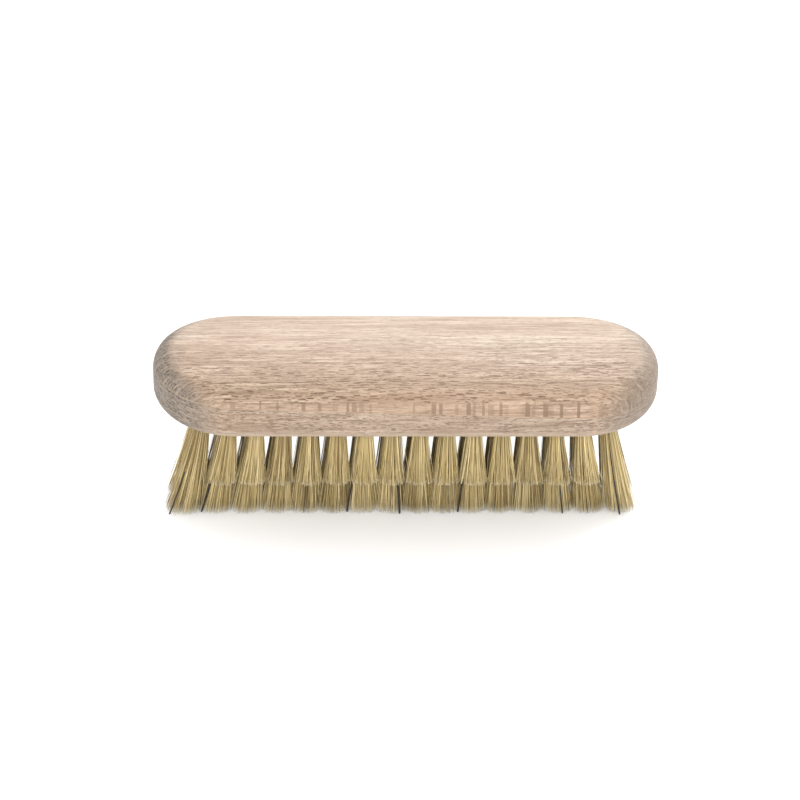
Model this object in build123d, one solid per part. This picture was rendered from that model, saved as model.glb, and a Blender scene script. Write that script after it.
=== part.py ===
from build123d import *
import os

# A wire-drawn clothes brush. The block is two beech boards glued face to face. The lower one, the
# tuft board, is drilled with rows of knot holes. Each knot of bristle is doubled over a loop of the
# row's drawing wire, pulled up into its hole, and the back board is glued on over the wires.
#
# Millimetres. X runs along the brush, Y across it and Z up. The origin is under the middle of the
# block, in the plane of the long tufts' tips, on which the brush stands.

# The block
LENGTH = 150.0  # end to end
WIDTH = 50.0  # across, and the diameter of the round ends
HEIGHT = 54.0  # from the bristle tips to the crown of the back
CROWN_RADIUS = 139.0  # of the back, across its width
TOP_ROUND = 6.0
BOTTOM_ROUND = 5.5

# The joint between the two boards, which isn't quite level
JOINT_HEIGHT = 10.4  # above the underside, at the middle of the length
JOINT_TILT = 1.6  # degrees, falling towards +X
GLUE_THICKNESS = 0.15

# The tufts
PITCH = 8.1  # from hole to hole, along and across
END_INSET = 1.2  # how far the last column's holes are drawn in from that pitch
INSET_POWER = 5  # above 1, only the columns near the ends are drawn in
INNER_COLUMNS = 16  # in each of the two middle rows
OUTER_COLUMNS = 14  # in each of the two outer rows
LONG_REACH = 37.0  # from the underside to the tips
SHORT_REACH = 21.0
LONG_TIP_RADIUS = 3.95
SHORT_TIP_RADIUS = 3.5
ROOT_RADIUS = 2.0
ROOT_DEPTH = 5.9
END_LEAN = 0.178  # sideways travel per unit of reach, at the last column
INNER_LEAN = 0.035  # the same, outwards across the brush
OUTER_LEAN = 0.105

# The holes and the drawing wires
KNOT_HOLE_RADIUS = 2.05
KNOT_HOLE_DEPTH = 6.0
WIRE_HOLE_RADIUS = 1.3
GROOVE_WIDTH = 0.9
GROOVE_DEPTH = 0.7
GROOVE_OVERRUN = 3.0  # past the last hole
WIRE_RADIUS = 0.225
WIRE_DROP = 0.425  # from the joint to the middle of the wire
WIRE_OVERRUN = 2.0
LOOP_HALF_WIDTH = 0.9
LOOP_DEPTH = 3.5  # from the underside up to the bottom of each loop
LOOP_BEND = 0.8
SHOULDER_BEND = 0.4
LOOP_CLEARANCE = 0.1

UNDERSIDE = LONG_REACH
LAST_COLUMN = (INNER_COLUMNS - 1) / 2 * PITCH  # before its holes are drawn in
INNER_ROW = PITCH / 2
OUTER_ROW = 3 * PITCH / 2


def column_places(count):
    """X of each hole of a row of count holes, from -X to +X."""
    even = [(i - (count - 1) / 2) * PITCH for i in range(count)]
    return [x - END_INSET * (x / LAST_COLUMN) ** INSET_POWER for x in even]


# Each row of holes, from the front (-Y) to the back: its Y and the X of its holes.
ROWS = [
    (-OUTER_ROW, column_places(OUTER_COLUMNS)),
    (-INNER_ROW, column_places(INNER_COLUMNS)),
    (INNER_ROW, column_places(INNER_COLUMNS)),
    (OUTER_ROW, column_places(OUTER_COLUMNS)),
]


def block():
    """The whole block: a round-ended oblong with a crowned back and rounded edges."""
    plan = Pos(0, 0, UNDERSIDE) * SlotOverall(LENGTH, WIDTH)
    prism = extrude(plan, HEIGHT - UNDERSIDE)
    crown = Pos(0, 0, HEIGHT - CROWN_RADIUS) * Rot(0, 90, 0) * Cylinder(CROWN_RADIUS, 2 * LENGTH)
    body = prism & crown
    top_edges = body.faces().sort_by(Axis.Z)[-1].outer_wire().edges()
    body = fillet(top_edges, TOP_ROUND)
    bottom_edges = body.faces().sort_by(Axis.Z)[0].outer_wire().edges()
    return fillet(bottom_edges, BOTTOM_ROUND)


def joint_place():
    """The middle of the joint, with its own X along the brush and its own Z square to the joint."""
    return Pos(0, 0, UNDERSIDE + JOINT_HEIGHT) * Rot(0, JOINT_TILT, 0)


def joint_slab(bottom, top, length=2 * LENGTH, width=2 * WIDTH, y=0.0):
    """A slab parallel to the joint, between two heights measured from it."""
    return joint_place() * Pos(0, y, (bottom + top) / 2) * Box(length, width, top - bottom)


def back_board(whole):
    """The upper board, with the crowned back."""
    return whole & joint_slab(GLUE_THICKNESS / 2, HEIGHT)


def glue_film(whole):
    """The film of glue between the boards, which shows as a fine line round the block."""
    return whole & joint_slab(-GLUE_THICKNESS / 2, GLUE_THICKNESS / 2)


def tuft_board(whole):
    """The lower board, with its knot holes, its wire holes and a groove for each row's wire."""
    board = whole & joint_slab(-HEIGHT, -GLUE_THICKNESS / 2)
    knot_hole = Cylinder(KNOT_HOLE_RADIUS, KNOT_HOLE_DEPTH)
    wire_hole = Cylinder(WIRE_HOLE_RADIUS, HEIGHT)
    cuts = []
    for y, places in ROWS:
        for x in places:
            cuts.append(Pos(x, y, UNDERSIDE + KNOT_HOLE_DEPTH / 2) * knot_hole)
            cuts.append(Pos(x, y, UNDERSIDE + HEIGHT / 2) * wire_hole)
        groove_length = 2 * (places[-1] + GROOVE_OVERRUN)
        floor = -GLUE_THICKNESS / 2 - GROOVE_DEPTH
        cuts.append(joint_slab(floor, GROOVE_DEPTH, groove_length, GROOVE_WIDTH, y))
    return board - cuts


def tube(path, radius):
    """A round bar along a path."""
    return sweep(Plane(origin=path @ 0, z_dir=path % 0) * Circle(radius), path=path)


def wire_level(x):
    """Z of the middle of the drawing wire where it runs along the back of the tuft board."""
    joint = joint_place() * Pos(x, 0, 0)
    return joint.position.Z - WIRE_DROP


def drawing_wire(y, places):
    """One row's wire: along its groove, with a loop down each wire hole for the knot it holds."""
    loop_level = UNDERSIDE + LOOP_DEPTH
    end = places[-1] + WIRE_OVERRUN
    points = [(-end, y, wire_level(-end))]
    bends = []
    for x in places:
        left = x - LOOP_HALF_WIDTH
        right = x + LOOP_HALF_WIDTH
        points.append((left, y, wire_level(left)))
        points.append((left, y, loop_level))
        points.append((right, y, loop_level))
        points.append((right, y, wire_level(right)))
        bends += [SHOULDER_BEND, LOOP_BEND, LOOP_BEND, SHOULDER_BEND]
    points.append((end, y, wire_level(end)))
    return tube(FilletPolyline(*points, radius=bends), WIRE_RADIUS)


def loop_tunnel(x, y):
    """The way through the top of a knot that its wire loop takes."""
    loop_level = UNDERSIDE + LOOP_DEPTH
    above = UNDERSIDE + ROOT_DEPTH + 1
    points = [
        (x - LOOP_HALF_WIDTH, y, above),
        (x - LOOP_HALF_WIDTH, y, loop_level),
        (x + LOOP_HALF_WIDTH, y, loop_level),
        (x + LOOP_HALF_WIDTH, y, above),
    ]
    return tube(FilletPolyline(*points, radius=LOOP_BEND), WIRE_RADIUS + LOOP_CLEARANCE)


def tuft(x, y, reach, tip_radius, lean):
    """One tuft: a straight knot in its hole, then a bundle that widens and leans to its tips."""
    travel_x = END_LEAN * (x / LAST_COLUMN) ** 3 * reach
    travel_y = lean * reach if y > 0 else -lean * reach
    knot = Pos(x, y, UNDERSIDE + ROOT_DEPTH / 2) * Cylinder(ROOT_RADIUS, ROOT_DEPTH)
    mouth = Pos(x, y, UNDERSIDE) * Circle(ROOT_RADIUS)
    tips = Pos(x + travel_x, y + travel_y, UNDERSIDE - reach) * Circle(tip_radius)
    return knot + loft([mouth, tips], ruled=True) - loop_tunnel(x, y)


def long_tuft(x, y):
    return tuft(x, y, LONG_REACH, LONG_TIP_RADIUS, INNER_LEAN)


def short_tuft(x, y):
    return tuft(x, y, SHORT_REACH, SHORT_TIP_RADIUS, OUTER_LEAN)


def save(shape, node):
    export_step(shape, f"parts/{node}.step")


os.makedirs("parts", exist_ok=True)

whole_block = block()
save(back_board(whole_block), "back_board")
save(glue_film(whole_block), "glue_film")
save(tuft_board(whole_block), "tuft_board")

for row, (row_y, row_places) in enumerate(ROWS, start=1):
    save(drawing_wire(row_y, row_places), f"drawing_wire_row_{row}")

for column, place in enumerate(column_places(INNER_COLUMNS), start=1):
    save(long_tuft(place, -INNER_ROW), f"long_tuft_front_{column:02d}")
    save(long_tuft(place, INNER_ROW), f"long_tuft_back_{column:02d}")

for column, place in enumerate(column_places(OUTER_COLUMNS), start=1):
    pair = [short_tuft(place, -OUTER_ROW), short_tuft(place, OUTER_ROW)]
    save(Compound(children=pair), f"short_tufts_{column:02d}")
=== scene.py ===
import math

import bpy
import numpy as np
from mathutils import Matrix, Vector


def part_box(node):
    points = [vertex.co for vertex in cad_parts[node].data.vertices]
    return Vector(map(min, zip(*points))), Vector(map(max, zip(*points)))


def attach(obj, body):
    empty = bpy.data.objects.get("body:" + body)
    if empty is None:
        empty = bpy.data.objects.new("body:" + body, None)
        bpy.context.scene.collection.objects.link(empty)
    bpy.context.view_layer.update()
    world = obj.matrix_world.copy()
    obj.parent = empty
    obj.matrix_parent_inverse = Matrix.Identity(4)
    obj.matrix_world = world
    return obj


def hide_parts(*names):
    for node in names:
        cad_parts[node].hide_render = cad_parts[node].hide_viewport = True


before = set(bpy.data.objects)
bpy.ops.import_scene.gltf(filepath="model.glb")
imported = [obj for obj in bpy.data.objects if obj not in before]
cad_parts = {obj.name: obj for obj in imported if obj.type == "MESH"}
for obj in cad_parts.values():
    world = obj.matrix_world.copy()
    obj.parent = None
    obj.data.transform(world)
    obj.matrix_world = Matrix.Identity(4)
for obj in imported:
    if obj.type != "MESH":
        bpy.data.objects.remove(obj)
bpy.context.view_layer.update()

MM = 0.001

# The brush, as the frame gives it
LONG_NODES = sorted(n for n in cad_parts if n.startswith("long_tuft"))
SHORT_NODES = sorted(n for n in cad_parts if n.startswith("short_tufts"))
WIRE_NODES = sorted(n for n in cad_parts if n.startswith("drawing_wire"))
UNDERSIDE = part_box("tuft_board")[0][2]
FRONT, BACK = -1, 1
INSIDE = 0.5 * MM  # past the underside, where only a tuft's knot reaches
LEVEL = 0.01 * MM  # within which points count as level with the tips

# The bristles
HAIRS_LONG = 340  # in each long tuft
HAIRS_SHORT = 310
SEGMENTS = 6
SIDES = 4
KNOT_RADIUS = 1.5 * MM
HIDDEN_ROOT = 2.0 * MM  # how far up its hole a bristle starts
HAIR_RADIUS = 0.108 * MM
THICKNESS_SPREAD = (0.8, 1.2)  # thinnest and thickest bristle, over HAIR_RADIUS
TIP_SHARE = 0.6  # a bristle's radius at its tip, over its radius at the root
LONG_TIP_RADIUS = 4.85 * MM
SHORT_TIP_RADIUS = 4.0 * MM
SPLAY = 1.15  # how much wider the tufts at the -X end have worn
SPLAY_SHIFT = 0.8 * MM  # how far towards -X the tips of that half have worn over
SPLAY_START = 25 * MM  # from the middle, where the whole of that shift is reached
TIP_FLATNESS = 0.8  # a tuft's spread across the brush, over its spread along it
TRIM_RISE = 0.5 * MM  # how much shorter a tuft is trimmed at its outer side
TRIM_SPREAD = 0.5 * MM  # how unevenly the bristles are trimmed
TRIM_CROWN = 0.2 * MM  # how much shorter a tuft is trimmed round its edge
TRIM_CROWN_LIMIT = 1.3  # square of the distance, in radii, past which that grows no more
LONG_FLARE = 1.2  # above 1, a tuft widens slowly at first and faster towards its tips
SHORT_FLARE = 1.4
BOW = 0.25 * MM  # how far bristles bow sideways, half way down
TIP_SCATTER = 0.2 * MM
STRAY_SHARE = 0.025  # of the bristles, which end up off their line
STRAY_SCATTER = 0.8 * MM
PACKING = 0.44  # below 0.5, the bristles are packed a little closer towards the tuft's outside
ROOT_JITTER = 0.035  # in knot radii
GOLDEN_ANGLE = 2.399963
LONG_SEED = 100  # of the first long tuft's random numbers
SHORT_SEED = 500
FULL_TURN = 6.28

# The bristles' tones, from 0 for black to 1 for pale straw
MEAN_TONE = 0.45
TONE_SPREAD = 0.26
TUFT_TONE_SPREAD = 0.05
DARKEST_FAIR_TONE = 0.14
DARK_TONE = 0.04
DARK_SHARE = 0.008  # of the ordinary bristles
PLAIN_TIP = 0.975  # where a short tuft's bristles end, part way into the paler tip, its flagged colour with painted light shining through

# The dark bristles that stand out
DARK_RADIUS = 0.3 * MM
DARK_FLARE = 1.35
DARK_ROOT_SHARE = 0.5  # how far in they start, so that they come out of the tuft near its tips
DARK_OUTSIDE = 1.3  # square of how far out they end, in tip radii

# The tuft that each is in, and how far across it, from -1 to 1
DARK_HAIRS = {
    "long_tuft_front_01": (-0.75,),
    "long_tuft_front_02": (-0.85,),
    "long_tuft_front_07": (-0.95,),
    "long_tuft_front_08": (0.6,),
    "long_tuft_front_11": (-0.85,),
    "long_tuft_front_14": (0.25,),
    "long_tuft_front_16": (-0.05,),
}


def tuft_ends(node, side):
    """The middle of a CAD tuft's knot and of its tips, for the tuft on one side of the brush."""
    points = np.array([v.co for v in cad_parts[node].data.vertices])
    points = points[points[:, 1] * side > 0]
    knot = points[points[:, 2] > UNDERSIDE + INSIDE]
    tips = points[points[:, 2] < points[:, 2].min() + LEVEL]
    return [(p.min(0) + p.max(0)) / 2 for p in (knot, tips)]


class Nodes:
    """A small helper that adds and links a material's nodes."""

    def __init__(self, name):
        self.material = bpy.data.materials.new(name)
        self.material.use_nodes = True
        self.tree = self.material.node_tree
        self.shader = next(n for n in self.tree.nodes if n.type == "BSDF_PRINCIPLED")

    def add(self, kind, **settings):
        node = self.tree.nodes.new(kind)
        for key, value in settings.items():
            setattr(node, key, value)
        return node

    def link(self, source, target):
        self.tree.links.new(source, target)

    def place(self, size_mm):
        """Object coordinates, counted in features that are size_mm along X, Y and Z."""
        where = self.add("ShaderNodeTexCoord")
        mapping = self.add("ShaderNodeMapping")
        mapping.inputs["Scale"].default_value = [1 / (s * MM) for s in size_mm]
        self.link(where.outputs["Object"], mapping.inputs["Vector"])
        return mapping.outputs["Vector"]

    def noise(self, size_mm, detail=2.0, roughness=0.5, distortion=0.0):
        """Noise whose features are about size_mm along X, Y and Z."""
        node = self.add("ShaderNodeTexNoise")
        node.inputs["Scale"].default_value = 1.0
        node.inputs["Detail"].default_value = detail
        node.inputs["Roughness"].default_value = roughness
        node.inputs["Distortion"].default_value = distortion
        self.link(self.place(size_mm), node.inputs["Vector"])
        return node.outputs["Fac"]

    def spots(self, size_mm, metric="EUCLIDEAN"):
        """Distance from the nearest of a scatter of points, size_mm apart."""
        node = self.add("ShaderNodeTexVoronoi", distance=metric)
        node.inputs["Scale"].default_value = 1.0
        self.link(self.place(size_mm), node.inputs["Vector"])
        return node.outputs["Distance"]

    def ranged(self, value, low, high, to_low=0.0, to_high=1.0):
        """The value, carried over from low..high to to_low..to_high and held at those ends."""
        node = self.add("ShaderNodeMapRange")
        node.clamp = True
        node.inputs["From Min"].default_value = low
        node.inputs["From Max"].default_value = high
        node.inputs["To Min"].default_value = to_low
        node.inputs["To Max"].default_value = to_high
        self.link(value, node.inputs["Value"])
        return node.outputs["Result"]

    def times(self, first, *others):
        """The product of sockets and numbers."""
        product = first
        for other in others:
            product = self.maths("MULTIPLY", product, other)
        return product

    def maths(self, operation, a, b=None):
        """Each of a and b is a number or a socket."""
        node = self.add("ShaderNodeMath", operation=operation)
        for socket, value in zip(node.inputs, (a, b)):
            if value is None:
                continue
            if isinstance(value, (int, float)):
                socket.default_value = value
            else:
                self.link(value, socket)
        return node.outputs["Value"]

    def mix(self, share, a, b, blend="MIX"):
        """Colour a, with a share of colour b mixed over it."""
        node = self.add("ShaderNodeMix", data_type="RGBA", blend_type=blend)
        for socket, value in zip((node.inputs[0], node.inputs[6], node.inputs[7]), (share, a, b)):
            if isinstance(value, (int, float)):
                socket.default_value = value
            elif isinstance(value, tuple):
                socket.default_value = (*value, 1.0)
            else:
                self.link(value, socket)
        return node.outputs[2]

    def attribute(self, name):
        node = self.add("ShaderNodeAttribute", attribute_name=name, attribute_type="GEOMETRY")
        return node.outputs["Fac"]

    def bump(self, height, distance_mm, strength):
        node = self.add("ShaderNodeBump")
        node.inputs["Strength"].default_value = strength
        node.inputs["Distance"].default_value = distance_mm * MM
        self.link(height, node.inputs["Height"])
        self.link(node.outputs["Normal"], self.shader.inputs["Normal"])


# Beech, in linear colour
BEECH_PALE = (0.45, 0.355, 0.28)
BEECH_MID = (0.345, 0.26, 0.195)
BEECH_LIGHT = (0.61, 0.515, 0.425)
BEECH_DARK = (0.15, 0.10, 0.064)
BEECH_RAY = (0.13, 0.082, 0.05)
BEECH_FLECK = (0.20, 0.137, 0.092)
BEECH_STAIN = (0.36, 0.24, 0.165)
BEECH_FLOOR_BOUNCE = (0.64, 0.53, 0.43)  # painted light bounced up from the floor onto the rounded lower edge
BEECH_END = (0.175, 0.142, 0.111)
BEECH_PORE = (0.05, 0.037, 0.026)
BACK_FRONT_SHADE = (0.74, 0.665, 0.585)  # painted shade: multiplies the back board's colour along the front edge, where less light falls
# painted shade: multiplies the base board's colour along its front edge, where less light falls
BASE_FRONT_SHADE = (0.68, 0.65, 0.61)

FLECK_SPACING = 2.5 * MM
FADE_Y = (-14 * MM, 14 * MM)  # over which the ray figure fades towards the back
# over which the painted shade along the front edge fades out towards the back
FRONT_SHADE_Y = (-19 * MM, 3 * MM)
RING_LINE_Y = -16.5 * MM
RING_WANDER = 1.6 * MM
RING_HALF_WIDTH = (0.15 * MM, 0.5 * MM)  # of its core, and with its soft edge
FLOOR_BOUNCE_RISE = (1.5 * MM, 4.5 * MM)  # above the underside, where the painted floor bounce light fades out
END_X = (55 * MM, 73 * MM)  # over which end grain spreads in from the ends
# painted shade: over which the end grain darkens towards the -X end, away from the light
END_SHADE_X = (-70 * MM, 0.0)


def fleck_row(m, along, facing_y):
    """Broad ray flecks: upright blocks in a row along the side, where a board is cut radially.
    Gives the flecks, and the band that they lie in."""
    cells = m.add("ShaderNodeTexVoronoi", voronoi_dimensions="1D")
    cells.inputs["Scale"].default_value = 1 / FLECK_SPACING
    m.link(along, cells.inputs["W"])
    split = m.add("ShaderNodeSeparateColor")
    m.link(cells.outputs["Color"], split.inputs[0])
    half_width = m.times(split.outputs[1], 0.34)
    bars = m.ranged(m.maths("SUBTRACT", cells.outputs["Distance"], half_width), 0.05, 0.11, 1.0, 0.0)
    chosen = m.ranged(split.outputs[0], 0.25, 0.75)
    rough_top = m.ranged(m.noise((1.2, 4.0, 1.0)), 0.2, 0.8, -0.12, 0.12)
    on_side = m.ranged(m.maths("ADD", m.maths("ABSOLUTE", facing_y), rough_top), 0.72, 0.84)
    return m.times(bars, chosen, on_side), on_side


def ring_line(m, y):
    """A dark line of late wood that wanders along the front of the back, breaking up as it goes."""
    wander = m.ranged(m.noise((38.0, 60.0, 60.0)), 0.3, 0.7, -RING_WANDER, RING_WANDER)
    off = m.maths("ABSOLUTE", m.maths("SUBTRACT", m.maths("ADD", y, wander), RING_LINE_Y))
    broken = m.ranged(m.noise((5.0, 0.5, 9.0)), 0.4, 0.6)
    return m.times(m.ranged(off, *RING_HALF_WIDTH, 1.0, 0.0), broken)


def long_grain(m, fibre, fade, ring_mm):
    """Growth rings, with pale and dark fibres along X."""
    rings = m.noise(ring_mm, detail=3.0, roughness=0.6, distortion=0.5)
    colour = m.mix(m.ranged(rings, 0.36, 0.64), BEECH_PALE, BEECH_MID)
    light_fibre = m.noise((26.0, 0.9, 0.9), detail=3.0, roughness=0.6)
    colour = m.mix(m.ranged(light_fibre, 0.47, 0.66, 0.0, 0.75), colour, BEECH_LIGHT)
    strength = m.maths("ADD", m.times(fade, 0.35), 0.5)
    return m.mix(m.times(m.ranged(fibre, 0.49, 0.7), strength), colour, BEECH_DARK)


def ray_figure(m, colour, ray_mm, shown, strength):
    """Rays: blocks that show as dashes on one face and as squarish flecks on the next."""
    rays = m.ranged(m.spots(ray_mm, metric="CHEBYCHEV"), 0.2, 0.32, 1.0, 0.0)
    patch = m.ranged(m.noise((11.0, 6.0, 6.0), detail=1.0), 0.36, 0.5)
    colour = m.mix(m.times(rays, patch, shown, strength), colour, BEECH_RAY)
    small_rays = m.ranged(m.spots([s * 0.6 for s in ray_mm]), 0.16, 0.3, 1.0, 0.0)
    colour = m.mix(m.times(small_rays, shown, strength), colour, BEECH_RAY)
    pores = m.ranged(m.noise((2.2, 0.42, 0.42), roughness=0.7), 0.5, 0.68)
    return m.mix(m.times(pores, 0.42), colour, BEECH_DARK)


def end_grain(m, colour, x, facing_x, end_ray_mm):
    """End grain: darker and stippled with pores, with painted shade that makes it darker and more
    stippled towards the -X end.
    """
    near_end = m.ranged(m.maths("ABSOLUTE", x), *END_X, 0.0, 0.42)
    endness = m.ranged(m.maths("ADD", facing_x, near_end), 0.18, 0.75)
    # painted shade: full at the -X end, 0.65 from the middle on
    end_shade = m.ranged(x, *END_SHADE_X, 1.0, 0.65)
    stipple = m.ranged(m.spots((1.5, 0.85, 0.85)), 0.25, 0.5, 1.0, 0.0)
    fine_stipple = m.ranged(m.noise((1.0, 0.6, 0.6), roughness=0.7), 0.46, 0.58)
    end_rays = m.ranged(m.noise(end_ray_mm), 0.5, 0.66)
    end = m.mix(m.times(stipple, end_shade, 0.8), BEECH_END, BEECH_PORE)
    end = m.mix(m.times(fine_stipple, 0.45), end, BEECH_PORE)
    end = m.mix(m.times(end_rays, 0.35), end, BEECH_PALE)
    return m.mix(m.times(endness, end_shade), colour, end)


def beech(name, ray_mm, ring_mm, end_ray_mm, front_shade, back_fade, figured):
    """Beech as a solid: ray_mm is the rays' spacing along X, Y and Z, ring_mm the rings', and
    end_ray_mm that of the lines which the rays draw on the end grain. front_shade is the
    multiplying colour of the painted shade at the front edge, and back_fade how much of the ray
    figure is left at the back, over what is at the front. A figured board has broad flecks and a
    dark ring line, and the other has painted floor bounce light along its lower edge."""
    m = Nodes(name)
    place = m.add("ShaderNodeSeparateXYZ")
    m.link(m.add("ShaderNodeTexCoord").outputs["Object"], place.inputs[0])
    x, y, z = place.outputs
    facing = m.add("ShaderNodeSeparateXYZ")
    m.link(m.add("ShaderNodeNewGeometry").outputs["Normal"], facing.inputs[0])
    facing_x = m.maths("ABSOLUTE", facing.outputs["X"])

    fibre = m.noise((9.0, 0.45, 0.45), detail=3.0, roughness=0.7)
    fade = m.ranged(y, *FADE_Y, 1.0, back_fade)
    colour = long_grain(m, fibre, fade, ring_mm)
    shown = m.times(fade, m.ranged(facing_x, 0.4, 0.7, 1.0, 0.1))
    if figured:
        flecks, fleck_band = fleck_row(m, x, facing.outputs["Y"])
        shown = m.times(shown, m.ranged(fleck_band, 0.0, 1.0, 1.0, 0.15))
        colour = ray_figure(m, colour, ray_mm, shown, 0.95)
        colour = m.mix(m.times(flecks, 0.85), colour, BEECH_FLECK)
        colour = m.mix(m.times(ring_line(m, y), 0.7), colour, BEECH_RAY)
    else:
        colour = ray_figure(m, colour, ray_mm, shown, 0.75)
        # painted bounce light from the floor, paler towards the underside
        edge = [UNDERSIDE + rise for rise in FLOOR_BOUNCE_RISE]
        colour = m.mix(m.ranged(z, *edge, 0.7, 0.0), colour, BEECH_FLOOR_BOUNCE)

    stains = m.noise((45.0, 14.0, 12.0), detail=1.0)
    colour = m.mix(m.ranged(stains, 0.35, 0.65, 0.0, 0.22), colour, BEECH_STAIN)
    # painted shade, darker towards the front edge
    colour = m.mix(m.ranged(y, *FRONT_SHADE_Y, 1.0, 0.0), colour, front_shade, "MULTIPLY")
    colour = end_grain(m, colour, x, facing_x, end_ray_mm)
    m.link(colour, m.shader.inputs["Base Color"])
    m.link(m.ranged(fibre, 0.3, 0.7, 0.48, 0.66), m.shader.inputs["Roughness"])
    m.shader.inputs["Specular IOR Level"].default_value = 0.35
    m.bump(fibre, 0.06, 0.5)
    return m.material


def wood_glue():
    m = Nodes("wood_glue")
    spread = m.noise((3.0, 3.0, 0.4))
    m.link(m.mix(spread, (0.20, 0.13, 0.08), (0.33, 0.23, 0.15)), m.shader.inputs["Base Color"])
    m.shader.inputs["Roughness"].default_value = 0.6
    m.bump(spread, 0.03, 0.4)
    return m.material


def drawn_brass():
    m = Nodes("drawing_wire")
    scratches = m.noise((2.0, 0.05, 0.05), detail=3.0)
    m.link(m.mix(scratches, (0.62, 0.44, 0.18), (0.80, 0.62, 0.30)), m.shader.inputs["Base Color"])
    m.link(m.ranged(scratches, 0.3, 0.7, 0.25, 0.45), m.shader.inputs["Roughness"])
    m.shader.inputs["Metallic"].default_value = 1.0
    m.bump(scratches, 0.01, 0.3)
    return m.material


def bristle():
    """Natural bristle: brown to straw hairs, with painted shade near their roots under the block,
    paler towards their flagged tips, partly their own colour and partly painted light shining
    through them, and some dark.
    """
    m = Nodes("bristle")
    tone = m.attribute("tone")
    along = m.attribute("along")
    ramp = m.add("ShaderNodeValToRGB")
    stops = [
        (0.0, (0.008, 0.007, 0.006)),
        (0.08, (0.02, 0.015, 0.01)),
        (0.12, (0.18, 0.12, 0.045)),
        (0.5, (0.51, 0.39, 0.165)),
        (1.0, (0.82, 0.69, 0.41)),
    ]
    elements = ramp.color_ramp.elements
    for i, (at, colour) in enumerate(stops):
        element = elements[i] if i < 2 else elements.new(at)
        element.position = at
        element.color = (*colour, 1.0)
    m.link(tone, ramp.inputs["Fac"])
    fair = m.ranged(tone, 0.1, 0.14)
    # painted shade under the block: fair bristles darken towards their roots
    root = m.ranged(along, 0.05, 0.4, 0.5, 0.0)
    colour = m.mix(m.maths("MULTIPLY", root, fair), ramp.outputs["Color"], (0.29, 0.215, 0.11))
    # paler tips: partly the flagged tips' own colour, partly painted light shining through them
    tip = m.maths("MULTIPLY", m.ranged(along, 0.95, 1.0, 0.0, 0.75), fair)
    colour = m.mix(tip, colour, (0.80, 0.77, 0.66))
    mottle = m.noise((0.6, 0.6, 3.0), detail=2.0)
    colour = m.mix(m.ranged(mottle, 0.4, 0.8, 0.0, 0.2), colour, (0.28, 0.205, 0.10))
    m.link(colour, m.shader.inputs["Base Color"])
    m.link(m.ranged(mottle, 0.3, 0.7, 0.38, 0.55), m.shader.inputs["Roughness"])
    m.shader.inputs["Specular IOR Level"].default_value = 0.45
    m.bump(mottle, 0.01, 0.3)
    return m.material


def floor_white():
    m = Nodes("floor_white")
    cloud = m.noise((300.0, 300.0, 300.0), detail=1.0)
    m.link(m.mix(cloud, (0.86, 0.86, 0.86), (0.88, 0.88, 0.88)), m.shader.inputs["Base Color"])
    m.shader.inputs["Roughness"].default_value = 0.9
    m.shader.inputs["Specular IOR Level"].default_value = 0.1
    return m.material


def hair_lines(rng, ends, tip_radius, flare, count, darks):
    """The middle line of each of a tuft's count bristles, with their radii and tones. The ends
    are the middles of the knot and of the tips, and darks says how far across the tuft each
    dark bristle is."""
    knot, tips = ends
    side = math.copysign(1, knot[1])
    k = np.arange(count)
    r = ((k + 0.5) / count) ** PACKING
    angle = k * GOLDEN_ANGLE + rng.uniform(0, FULL_TURN)
    unit = np.stack([r * np.cos(angle), r * np.sin(angle)], 1)
    unit += rng.normal(0, ROOT_JITTER, unit.shape)
    tone = rng.normal(MEAN_TONE, TONE_SPREAD, count) + rng.normal(0, TUFT_TONE_SPREAD)
    tone = np.clip(tone, DARKEST_FAIR_TONE, 1.0)
    tone[rng.random(count) < DARK_SHARE] = DARK_TONE
    radius = HAIR_RADIUS * rng.uniform(*THICKNESS_SPREAD, count)
    bow = rng.normal(0, BOW, (count, 2))
    stray = rng.random(count) < STRAY_SHARE
    scatter = rng.normal(0, TIP_SCATTER, unit.shape)
    scatter += stray[:, None] * rng.normal(0, STRAY_SCATTER, unit.shape)
    widening = np.full(count, flare)
    tip_share = np.full(count, TIP_SHARE)
    for i, across in enumerate(darks):
        unit[i] = (across, side * math.sqrt(DARK_OUTSIDE - across * across))
        tone[i] = 0.0
        radius[i] = DARK_RADIUS
        tip_share[i] = 1.0
        widening[i] = DARK_FLARE
        bow[i] = 0.0
        scatter[i] = 0.0

    # The trim: slightly ragged, and shorter round the tuft's edge and at its outer side
    off_middle = np.minimum((unit ** 2).sum(1), TRIM_CROWN_LIMIT)
    trim = np.abs(rng.normal(0, TRIM_SPREAD, count)) + TRIM_CROWN * off_middle
    trim += np.maximum(unit[:, 1] * side, 0) * TRIM_RISE
    root_xy = knot[:2] + unit * KNOT_RADIUS
    root_xy[:len(darks)] += (knot[:2] - root_xy[:len(darks)]) * DARK_ROOT_SHARE
    tip_xy = tips[:2] + unit * np.array([tip_radius, tip_radius * TIP_FLATNESS]) + scatter
    top = UNDERSIDE + HIDDEN_ROOT
    tip_z = tips[2] + trim
    t = np.linspace(0, 1, SEGMENTS + 1)
    lines = np.empty((count, SEGMENTS + 1, 3))
    for j, tj in enumerate(t):
        share = (tj ** widening)[:, None]
        lines[:, j, :2] = root_xy * (1 - share) + tip_xy * share + bow * math.sin(math.pi * tj)
        lines[:, j, 2] = top + (tip_z - top) * tj
    taper = 1 - (1 - tip_share)[:, None] * t[None, :]
    return lines, radius[:, None] * taper, tone


def hair_faces(count):
    """The quads of count bristles: the sides and the two end caps of each."""
    quads = []
    for j in range(SEGMENTS):
        for i in range(SIDES):
            a = j * SIDES + i
            b = j * SIDES + (i + 1) % SIDES
            quads.append((a, a + SIDES, b + SIDES, b))
    quads.append(tuple(range(SIDES)))
    quads.append(tuple(SEGMENTS * SIDES + i for i in reversed(range(SIDES))))
    starts = np.arange(count) * (SEGMENTS + 1) * SIDES
    return (np.array(quads)[None, :, :] + starts[:, None, None]).reshape(-1, SIDES)


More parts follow.
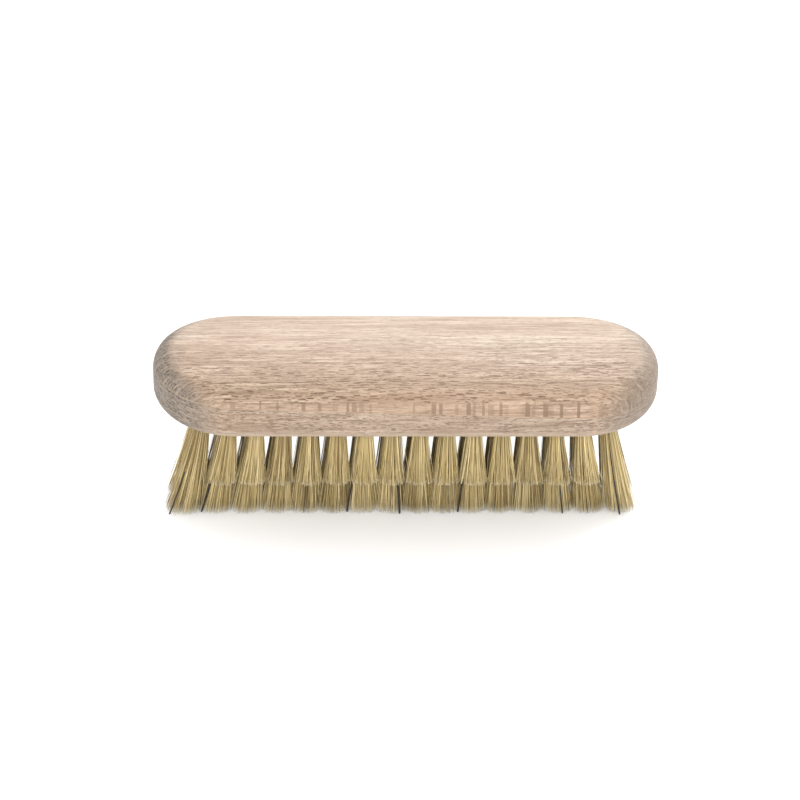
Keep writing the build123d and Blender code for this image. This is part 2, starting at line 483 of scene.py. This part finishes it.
def hairs(rng, ends, tip_radius, flare, count, darks=()):
    """Vertices, quads, tones and places along the bristle, of one tuft of count bristles."""
    lines, size, tone = hair_lines(rng, ends, tip_radius, flare, count, darks)
    ring = np.arange(SIDES) * 2 * math.pi / SIDES
    around = rng.uniform(0, FULL_TURN, count)[:, None] + ring[None, :]
    offset = np.stack([np.cos(around), np.sin(around), np.zeros_like(around)], 2)
    points = lines[:, :, None, :] + offset[:, None, :, :] * size[:, :, None, None]
    tones = np.repeat(tone, (SEGMENTS + 1) * SIDES)
    alongs = np.tile(np.repeat(np.linspace(0, 1, SEGMENTS + 1), SIDES), count)
    return points.reshape(-1, 3), hair_faces(count), tones, alongs


def hair_piece(node, tufts, material):
    """One piece of bristles, which stands for one CAD node."""
    name = "bristles_" + node
    verts, faces, tones, alongs = [], [], [], []
    start = 0
    for points, quads, tone, along in tufts:
        verts.append(points)
        faces.append(quads + start)
        tones.append(tone)
        alongs.append(along)
        start += len(points)
    mesh = bpy.data.meshes.new(name)
    mesh.from_pydata(np.concatenate(verts).tolist(), [], np.concatenate(faces).tolist())
    for attribute, values in (("tone", tones), ("along", alongs)):
        data = mesh.attributes.new(attribute, "FLOAT", "POINT").data
        data.foreach_set("value", np.concatenate(values))
    mesh.shade_smooth()
    mesh.materials.append(material)
    piece = bpy.data.objects.new(name, mesh)
    bpy.context.scene.collection.objects.link(piece)
    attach(piece, "root")
    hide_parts(node)


def long_tufts(material):
    """The two middle rows, with a piece for each tuft."""
    for index, node in enumerate(LONG_NODES):
        rng = np.random.default_rng(LONG_SEED + index)
        ends = tuft_ends(node, FRONT if "front" in node else BACK)
        tip_radius = LONG_TIP_RADIUS
        if node.endswith("_01"):
            tip_radius *= SPLAY
        ends[1][0] -= SPLAY_SHIFT * min(1.0, max(0.0, -ends[1][0] / SPLAY_START))
        tuft = hairs(rng, ends, tip_radius, LONG_FLARE, HAIRS_LONG, DARK_HAIRS.get(node, ()))
        hair_piece(node, [tuft], material)


def short_tufts(material):
    """The two outer rows, with a piece for each front and back pair."""
    for index, node in enumerate(SHORT_NODES):
        rng = np.random.default_rng(SHORT_SEED + index)
        pair = [tuft_ends(node, side) for side in (FRONT, BACK)]
        tufts = [hairs(rng, ends, SHORT_TIP_RADIUS, SHORT_FLARE, HAIRS_SHORT) for ends in pair]
        tufts = [(*rest, along * PLAIN_TIP) for *rest, along in tufts]
        hair_piece(node, tufts, material)


def dress(node, material):
    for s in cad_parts[node].material_slots:
        s.material = material


# The studio
FLOOR_HALF = 3.0
WORLD_STRENGTH = 1.2
LIGHT_AIM = (0, 0, 0.03)

# The camera
AZIMUTH = -2.5
ELEVATION = 33.2
ROLL = 1.42
DISTANCE = 0.9
LENS = 135.5
SENSOR = 36.0
CAMERA_AIM = (-0.0016, 0.0, UNDERSIDE - 0.0011)


def make_floor():
    mesh = bpy.data.meshes.new("floor")
    corners = [(x * FLOOR_HALF, y * FLOOR_HALF, 0) for x, y in ((-1, -1), (1, -1), (1, 1), (-1, 1))]
    mesh.from_pydata(corners, [], [(0, 1, 2, 3)])
    mesh.materials.append(floor_white())
    floor = bpy.data.objects.new("floor", mesh)
    bpy.context.scene.collection.objects.link(floor)


def area_light(name, place, size, power):
    light = bpy.data.lights.new(name, "AREA")
    light.shape = "DISK"
    light.size = size
    light.energy = power
    lamp = bpy.data.objects.new(name, light)
    lamp.location = place
    towards = Vector(LIGHT_AIM) - Vector(place)
    lamp.rotation_euler = towards.to_track_quat("-Z", "Y").to_euler()
    bpy.context.scene.collection.objects.link(lamp)


def make_camera():
    camera = bpy.data.cameras.new("camera")
    camera.lens = LENS
    camera.sensor_width = SENSOR
    camera.clip_start = 0.05
    camera.clip_end = 20.0
    eye = bpy.data.objects.new("camera", camera)
    a = math.radians(AZIMUTH)
    e = math.radians(ELEVATION)
    away = Vector((math.sin(a) * math.cos(e), -math.cos(a) * math.cos(e), math.sin(e)))
    place = Vector(CAMERA_AIM) + away * DISTANCE
    look = (-away).to_track_quat("-Z", "Y").to_matrix().to_4x4()
    roll = Matrix.Rotation(math.radians(ROLL), 4, "Z")
    eye.matrix_world = Matrix.Translation(place) @ look @ roll
    bpy.context.scene.collection.objects.link(eye)
    bpy.context.scene.camera = eye


def make_light():
    world = bpy.data.worlds.new("studio")
    world.use_nodes = True
    background = next(n for n in world.node_tree.nodes if n.type == "BACKGROUND")
    background.inputs["Color"].default_value = (1.0, 1.0, 1.0, 1.0)
    background.inputs["Strength"].default_value = WORLD_STRENGTH
    bpy.context.scene.world = world
    area_light("key", (0.35, 0.7, 0.75), size=0.8, power=8.0)
    area_light("fill", (-0.1, -0.95, 0.5), size=0.9, power=10.5)


upper = beech(
    "beech_back",
    ray_mm=(3.8, 0.62, 6.0),
    ring_mm=(70.0, 6.0, 2.0),
    end_ray_mm=(5.0, 0.4, 12.0),
    front_shade=BACK_FRONT_SHADE,
    back_fade=0.12,
    figured=True,
)
lower = beech(
    "beech_base",
    ray_mm=(2.4, 5.0, 0.55),
    ring_mm=(50.0, 2.0, 3.0),
    end_ray_mm=(5.0, 12.0, 0.4),
    front_shade=BASE_FRONT_SHADE,
    back_fade=1.0,
    figured=False,
)
dress("back_board", upper)
dress("tuft_board", lower)
dress("glue_film", wood_glue())
brass = drawn_brass()
for wire in WIRE_NODES:
    dress(wire, brass)
hair = bristle()
long_tufts(hair)
short_tufts(hair)
make_floor()
make_light()
make_camera()
bpy.context.scene.view_settings.view_transform = "Standard"
